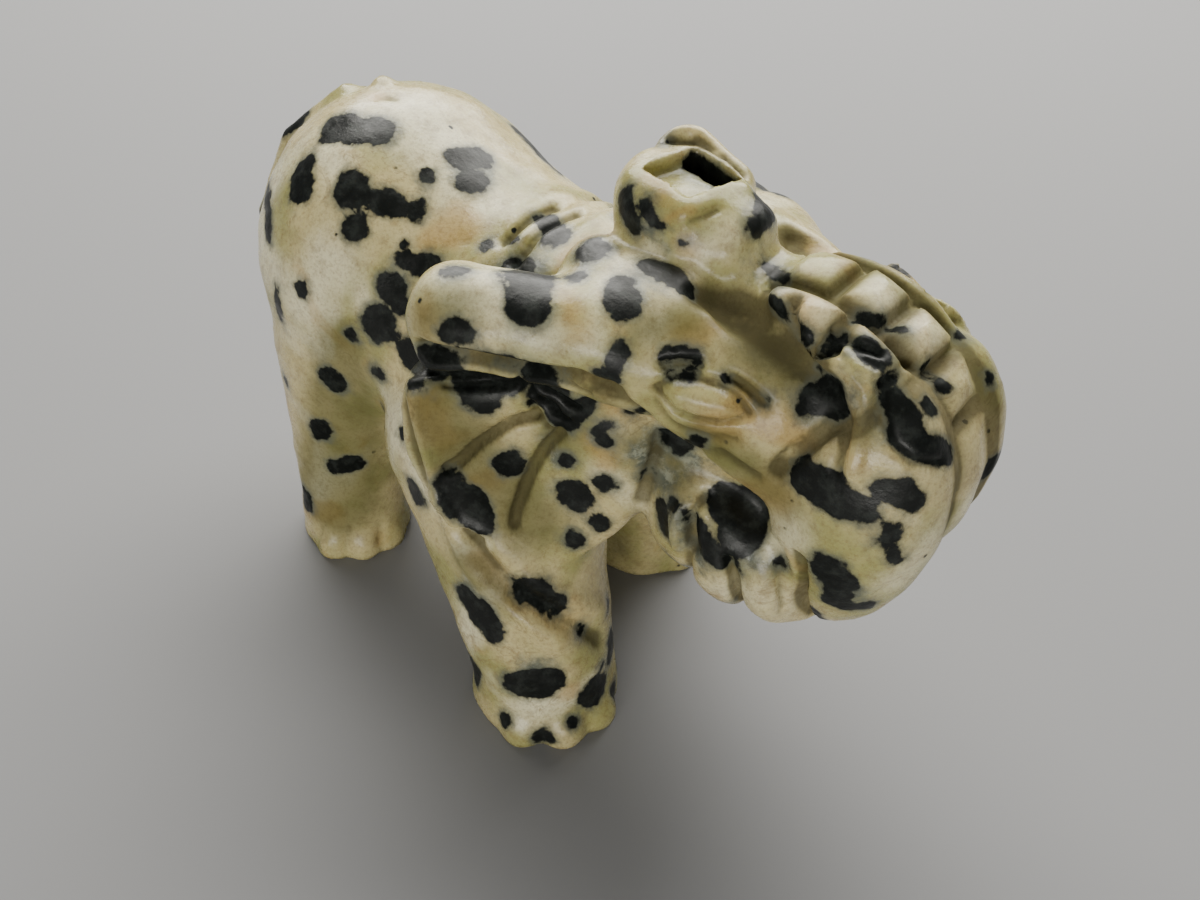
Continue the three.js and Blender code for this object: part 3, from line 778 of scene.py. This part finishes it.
# Pale stone, partly painted light on the rump's top, the trunk's top and the jaw, where most light falls
PALE_AND_LIT_ZONES = (
    ((764, 546, 22), (792, 534, 22)), ((925, 332, 24), (888, 298, 20)),
    ((410, 118, 46), (480, 196, 30)), ((900, 580, 26), (930, 540, 18)),
    ((640, 262, 18), (606, 300, 16)), ((700, 590, 20), (760, 600, 18)),
    ((700, 250, 16), (736, 232, 14)), ((810, 312, 16),), ((330, 260, 26),),
    ((560, 700, 18), (520, 715, 16)),
)
STAINS = (
    ((566, 296, 14), (576, 336, 12)), ((690, 336, 16), (716, 326, 12)),
    ((700, 470, 14), (770, 492, 22)), ((628, 412, 12), (608, 404, 10)),
    ((606, 460, 16), (590, 440, 10)), ((430, 404, 16), (446, 440, 18)),
    ((462, 486, 12), (494, 476, 12)), ((478, 556, 12), (510, 588, 12), (540, 610, 8)),
    ((649, 178, 7), (668, 194, 7)), ((690, 246, 10),), ((806, 300, 12), (802, 330, 8)),
    ((820, 250, 14), (850, 272, 10)), ((460, 225, 26), (430, 240, 16)),
    ((300, 500, 18), (330, 510, 14)), ((858, 410, 10), (852, 450, 9)), ((700, 585, 12), (714, 596, 10)),
    ((425, 316, 14),), ((740, 405, 20), (800, 440, 14)), ((570, 690, 12),), ((720, 425, 26),),
    ((376, 96, 8),),
)


def placed(groups):
    """Chains of balls, in modules, from chains of places and radii in the photograph."""
    camera_place, view = np.array(CAMERA_AT, np.float32), np.array(look, np.float32)
    made = []
    for group in groups:
        chain = []
        for x, y, radius in group:
            p = seen_at(x, y)
            chain.append((*p, radius * float((p - camera_place) @ view) / FOCAL_PX))
        made.append(chain)
    return made


# A black spot along the nostril slot's far wall: painted shadow in the slot, partly dark stone
SLOT_SHADOW_SPOT = ((7.7, 1.75, 34.2, 0.62), (10.7, 1.05, 34.0, 0.62))
kinds = dict(
    spot_edge=placed(SPOTS) + [SLOT_SHADOW_SPOT],
    cloud_edge=placed(CLOUDS),
    stain_edge=placed(STAINS),
    olive_and_shade_edge=placed(OLIVE_AND_SHADE_ZONES),
    pale_and_lit_edge=placed(PALE_AND_LIT_ZONES),
    painted_shadow_edge=placed(PAINTED_SHADOWS),
)

# More spots where the photograph doesn't look, sown over the rest of the skin, with a cloud round every fifth
# and a stain round every fourth; gaps and radii are in modules
HIDDEN_SPOTS = 150
MOST_TRIES = 6000
HIDDEN_RADII = (0.35, 0.5, 0.7, 0.95, 1.2)
SPOT_GAP = 1.35
SHOWN_GAP = 1.8
OFF_THE_SKIN = 0.25
OFF_THE_FLOOR = 0.05
DRIFT = 0.8
CLOUD_SPREAD = 2.2
STAIN_SPREAD = 2.0
sower = random.Random(5)
hidden = []
shown = np.array([ball[:3] for chain in kinds["spot_edge"] for ball in chain])
tries = 0
while len(hidden) < HIDDEN_SPOTS and tries < MOST_TRIES:
    tries += 1
    p = moved[sower.randrange(len(moved))]
    radius = sower.choice(HIDDEN_RADII)
    toward = (Vector(CAMERA_AT) - Vector(p)).normalized()
    seen = rough_skin.ray_cast(Vector(p) + toward * OFF_THE_SKIN, toward)[0] is None
    if seen or p[2] < OFF_THE_FLOOR or (np.linalg.norm(shown - p, axis=1) < radius + SHOWN_GAP).any():
        continue
    if hidden:
        known = np.array([spot[0] for spot in hidden])
        clear = radius + known[:, 3] + SPOT_GAP * sower.random()
        if (np.linalg.norm(known[:, :3] - p, axis=1) < clear).any():
            continue
    drift = [sower.uniform(-DRIFT, DRIFT) * radius for _ in range(3)]
    far_end = (p[0] + drift[0], p[1] + drift[1], p[2] + drift[2], radius * sower.uniform(0.5, 1))
    hidden.append([(*p, radius), far_end])
kinds["spot_edge"] += hidden
kinds["cloud_edge"] += [[(*ball[:3], CLOUD_SPREAD * ball[3])] for ball, _ in hidden[::5]]
kinds["stain_edge"] += [[(*ball[:3], STAIN_SPREAD * ball[3])] for ball, _ in hidden[2::4]]

# How far each point of the skin is from the nearest edge of each kind, and how deep in a cut it lies
FAR = 2.0
LARGEST_BALL = 3
# Share of the trunk's groove depth that gets the cuts' dirt and painted shade
TRUNK_GRIME_AND_SHADE = 0.6


def edge_of(chains):
    nearest = np.full(len(moved), FAR, np.float32)
    for chain in chains:
        points = chain if len(chain) > 1 else chain * 2
        low_corner = np.min([c[:3] for c in points], axis=0) - FAR - LARGEST_BALL
        high_corner = np.max([c[:3] for c in points], axis=0) + FAR + LARGEST_BALL
        inside = ((moved > low_corner) & (moved < high_corner)).all(1)
        nearest[inside] = np.minimum(nearest[inside], bar(*points)(moved[inside]))
    return nearest


skin_values = {name: edge_of(chains) for name, chains in kinds.items()}
skin_values["cut_depth"] = np.maximum(cut_depth, 0) + TRUNK_GRIME_AND_SHADE * wheel_cut(moved)[0]
for name, values in skin_values.items():
    mesh.attributes.new(name, "FLOAT", "POINT").data.foreach_set("value", values.astype(np.float32))


# Stone

material = bpy.data.materials.new("spotted_stone")
material.use_nodes = True
tree = material.node_tree
shader = tree.nodes["Principled BSDF"]


def add(kind, **settings):
    made = tree.nodes.new(kind)
    for key, value in settings.items():
        setattr(made, key, value)
    return made


def link(source, target):
    tree.links.new(source, target)


def noise(scale, detail=3.0, roughness=0.55, warp=0.0):
    """Noise over the stone; scale is in bumps per millimetre."""
    made = add("ShaderNodeTexNoise")
    made.inputs["Scale"].default_value = scale / MM
    made.inputs["Detail"].default_value = detail
    made.inputs["Roughness"].default_value = roughness
    made.inputs["Distortion"].default_value = warp
    link(place.outputs["Object"], made.inputs["Vector"])
    return made.outputs["Fac"]


def math_node(operation, a, b):
    made = add("ShaderNodeMath", operation=operation)
    for socket, value in zip(made.inputs, (a, b)):
        if isinstance(value, (int, float)):
            socket.default_value = value
        else:
            link(value, socket)
    return made.outputs[0]


def ramp(value, start, end, low=0.0, high=1.0):
    """A smooth step from low to high as value goes from start to end."""
    made = add("ShaderNodeMapRange", interpolation_type="SMOOTHSTEP")
    link(value, made.inputs["Value"])
    made.inputs["From Min"].default_value = start
    made.inputs["From Max"].default_value = end
    made.inputs["To Min"].default_value = low
    made.inputs["To Max"].default_value = high
    return made.outputs["Result"]


def mix(share, a, b):
    """Colour a turning into colour b."""
    made = add("ShaderNodeMix", data_type="RGBA")
    link(share, made.inputs["Factor"])
    for socket, value in ((made.inputs[6], a), (made.inputs[7], b)):
        if isinstance(value, tuple):
            socket.default_value = (*value, 1)
        else:
            link(value, socket)
    return made.outputs[2]


CREAM = (0.54, 0.462, 0.228)
OLIVE = (0.33, 0.312, 0.115)
PALE = (0.72, 0.67, 0.44)
RUST = (0.41, 0.245, 0.065)
SHADED = (0.080, 0.080, 0.028)
# Painted shadow colour
SHADOW_DARK = (0.045, 0.043, 0.018)
VEIN = (0.17, 0.10, 0.04)
# Dirt and painted shade in the cuts
GRIME_AND_SHADE = (0.055, 0.047, 0.023)
GREYED = (0.10, 0.11, 0.085)
WHITENED = (0.26, 0.27, 0.20)
BLACK = (0.006, 0.007, 0.006)
CHARCOAL = (0.020, 0.023, 0.020)

place = add("ShaderNodeTexCoord")
on_the_skin = {name: add("ShaderNodeAttribute", attribute_name=name).outputs["Fac"] for name in skin_values}
in_cut = on_the_skin["cut_depth"]


def ragged(name, grain, share):
    """Distance from the edge of a kind of zone, made ragged by a share of the grain."""
    return math_node("ADD", on_the_skin[name], math_node("MULTIPLY", grain, share))


# Ground: cream, olive and pale stone, rust, veins, painted shade and shadow, and dirt with painted shade in
# the cuts
ground = mix(ramp(noise(0.16, 3), 0.42, 0.62), CREAM, OLIVE)
ground = mix(ramp(noise(0.11, 2, warp=0.6), 0.54, 0.70), ground, PALE)
patches = noise(0.45, 4, 0.6, 0.5)
# Pale stone with painted light on the most lit faces
ground = mix(ramp(ragged("pale_and_lit_edge", patches, 2.0), 0.0, 2.0, 0.75, 0.0), ground, PALE)
ground = mix(ramp(ragged("stain_edge", patches, 2.2), 0.5, 1.7, 0.55, 0.0), ground, RUST)
ground = mix(ramp(noise(0.17, 4, warp=1.2), 0.60, 0.74, 0, 0.45), ground, RUST)
ground = mix(ramp(noise(1.1, 5, 0.7), 0.46, 0.70, 0, 0.36), ground, VEIN)
ground = mix(ramp(noise(4.5, 3, 0.7), 0.45, 0.70, 0, 0.34), ground, VEIN)
thread = math_node("ABSOLUTE", math_node("SUBTRACT", noise(0.22, 5, 0.6, 0.8), 0.5), 0)
vein_share = math_node("MULTIPLY", ramp(thread, 0.0, 0.014, 0.35, 0.0), ramp(noise(0.09, 1), 0.50, 0.62))
ground = mix(vein_share, ground, VEIN)
olive_and_shade_edge = ragged("olive_and_shade_edge", patches, 1.6)
# Painted shade: these zones are darkened towards SHADED, partly olive stone
ground = mix(ramp(olive_and_shade_edge, -0.2, 2.3, 0.70, 0.0), ground, SHADED)
# Painted shadow in the deepest hollows
painted_shadow_reach = ragged("painted_shadow_edge", noise(2.2, 4, 0.7, 0.4), 1.4)
ground = mix(ramp(painted_shadow_reach, -0.6, 1.6, 0.72, 0.0), ground, SHADOW_DARK)

# Spots with crumbled edges and a greyed halo
wander = math_node("MULTIPLY", math_node("SUBTRACT", noise(0.75, 2), 0.66), 1.1)
crumble = math_node("MULTIPLY", math_node("SUBTRACT", noise(2.6, 3, 0.6), 0.5), 0.42)
edge = math_node("ADD", on_the_skin["spot_edge"], math_node("ADD", wander, crumble))
halo = math_node("MULTIPLY", ramp(edge, 0.05, 0.75, 0.55, 0.0), ramp(noise(0.3, 2), 0.40, 0.60))
ground = mix(halo, ground, GREYED)
cloud = ramp(ragged("cloud_edge", noise(0.9, 5, 0.65), 3.2), 0.3, 2.2, 1.0, 0.0)
ground = mix(cloud, ground, mix(ramp(noise(1.3, 5, 0.7), 0.38, 0.55), WHITENED, GREYED))
ink = mix(ramp(noise(1.1, 4, 0.65), 0.45, 0.70), BLACK, CHARCOAL)
speck_grain = add("ShaderNodeTexVoronoi", feature="F1")
speck_grain.inputs["Scale"].default_value = 0.42 / MM
link(place.outputs["Object"], speck_grain.inputs["Vector"])
speck_size = math_node("ADD", speck_grain.outputs["Distance"], math_node("MULTIPLY", noise(3.0, 2), 0.10))
specks = math_node("MULTIPLY", ramp(speck_size, 0.10, 0.135, 1.0, 0.0), ramp(noise(0.14, 1), 0.46, 0.52))
# Dirt and painted shade in the cuts, the ear's dark undercut among them
dirt_and_shade = math_node("MULTIPLY", ramp(in_cut, 0.05, 0.32, 0.0, 0.74), ramp(noise(0.5, 3), 0.20, 0.40))
ground = mix(dirt_and_shade, ground, GRIME_AND_SHADE)
ring = ramp(edge, 0.0, 0.38, 0.55, 0.0)
ground = mix(ring, ground, GREYED)
spot_share = math_node("MAXIMUM", ramp(edge, -0.11, 0.08, 1.0, 0.0), specks)
colour = mix(spot_share, ground, ink)
link(colour, shader.inputs["Base Color"])

# Polish, duller in the cuts, the shade and the spots, with fine scratches and pits
polish = math_node("ADD", ramp(noise(1.4, 4, 0.6), 0.35, 0.65, 0.20, 0.36), ramp(in_cut, 0.05, 0.3, 0, 0.3))
polish = math_node("ADD", polish, ramp(olive_and_shade_edge, -0.2, 2.0, 0.18, 0.0))
link(math_node("ADD", polish, ramp(spot_share, 0.0, 1.0, 0.0, 0.10)), shader.inputs["Roughness"])
shine = math_node("MULTIPLY", ramp(spot_share, 0.0, 1.0, 0.36, 0.24), ramp(olive_and_shade_edge, -0.2, 2.0, 0.15, 1.0))
shine = math_node("MULTIPLY", shine, ramp(in_cut, 0.03, 0.25, 1.0, 0.15))
link(shine, shader.inputs["Specular IOR Level"])
STONE_IOR = 1.5
GLOW_SHARE = 0.10
GLOW_REACH = (0.0012, 0.0009, 0.0005)
PIT_STRENGTH = 0.35
PIT_DEPTH = 0.00012
shader.inputs["IOR"].default_value = STONE_IOR
shader.inputs["Subsurface Weight"].default_value = GLOW_SHARE
shader.inputs["Subsurface Radius"].default_value = GLOW_REACH
shader.inputs["Subsurface Scale"].default_value = 1.0
bump = add("ShaderNodeBump")
bump.inputs["Strength"].default_value = PIT_STRENGTH
bump.inputs["Distance"].default_value = PIT_DEPTH
pits = math_node("ADD", noise(0.9, 5, 0.6), math_node("MULTIPLY", noise(5.0, 3, 0.6), 0.35))
link(pits, bump.inputs["Height"])
link(bump.outputs["Normal"], shader.inputs["Normal"])

stone.data.materials.append(material)
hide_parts("elephant")
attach(stone, "root")

# Floor and light

FLOOR_HALF = 1.5
FLOOR_GREY = (0.22, 0.22, 0.225)
FLOOR_ROUGHNESS = 0.8
LIT_POINT = (0, 0, 0.018)
LAMP_COLOUR = (1.0, 0.98, 0.92)
SOFTBOXES = {
    "key": dict(at=(-0.12, 0.17, 0.23), size=(0.42, 0.30), watts=3.6),
    "fill": dict(at=(0.18, -0.37, 0.09), size=(0.40, 0.14), watts=1.5),
}
SKY_COLOUR = (0.9, 0.95, 1.0)
SKY_STRENGTH = 0.13
floor_mesh = bpy.data.meshes.new("floor")
corners = [(x * FLOOR_HALF, y * FLOOR_HALF, 0) for x, y in ((-1, -1), (1, -1), (1, 1), (-1, 1))]
floor_mesh.from_pydata(corners, [], [(0, 1, 2, 3)])
floor = add_object("floor", floor_mesh)
floor_material = bpy.data.materials.new("floor")
floor_material.use_nodes = True
floor_shader = floor_material.node_tree.nodes["Principled BSDF"]
floor_shader.inputs["Base Color"].default_value = (*FLOOR_GREY, 1)
floor_shader.inputs["Roughness"].default_value = FLOOR_ROUGHNESS
floor.data.materials.append(floor_material)

for name, softbox in SOFTBOXES.items():
    light = bpy.data.lights.new(name, "AREA")
    light.shape = "RECTANGLE"
    light.size, light.size_y = softbox["size"]
    light.energy = softbox["watts"]
    light.color = LAMP_COLOUR
    lamp = add_object(name, light)
    lamp.location = softbox["at"]
    lamp.rotation_euler = (Vector(LIT_POINT) - Vector(softbox["at"])).to_track_quat("-Z", "Y").to_euler()

world = bpy.data.worlds.new("studio")
world.use_nodes = True
background = world.node_tree.nodes["Background"]
background.inputs["Color"].default_value = (*SKY_COLOUR, 1)
background.inputs["Strength"].default_value = SKY_STRENGTH
bpy.context.scene.world = world

print("mesh", len(moved), "points", triangles, "triangles", len(hidden), "hidden spots")
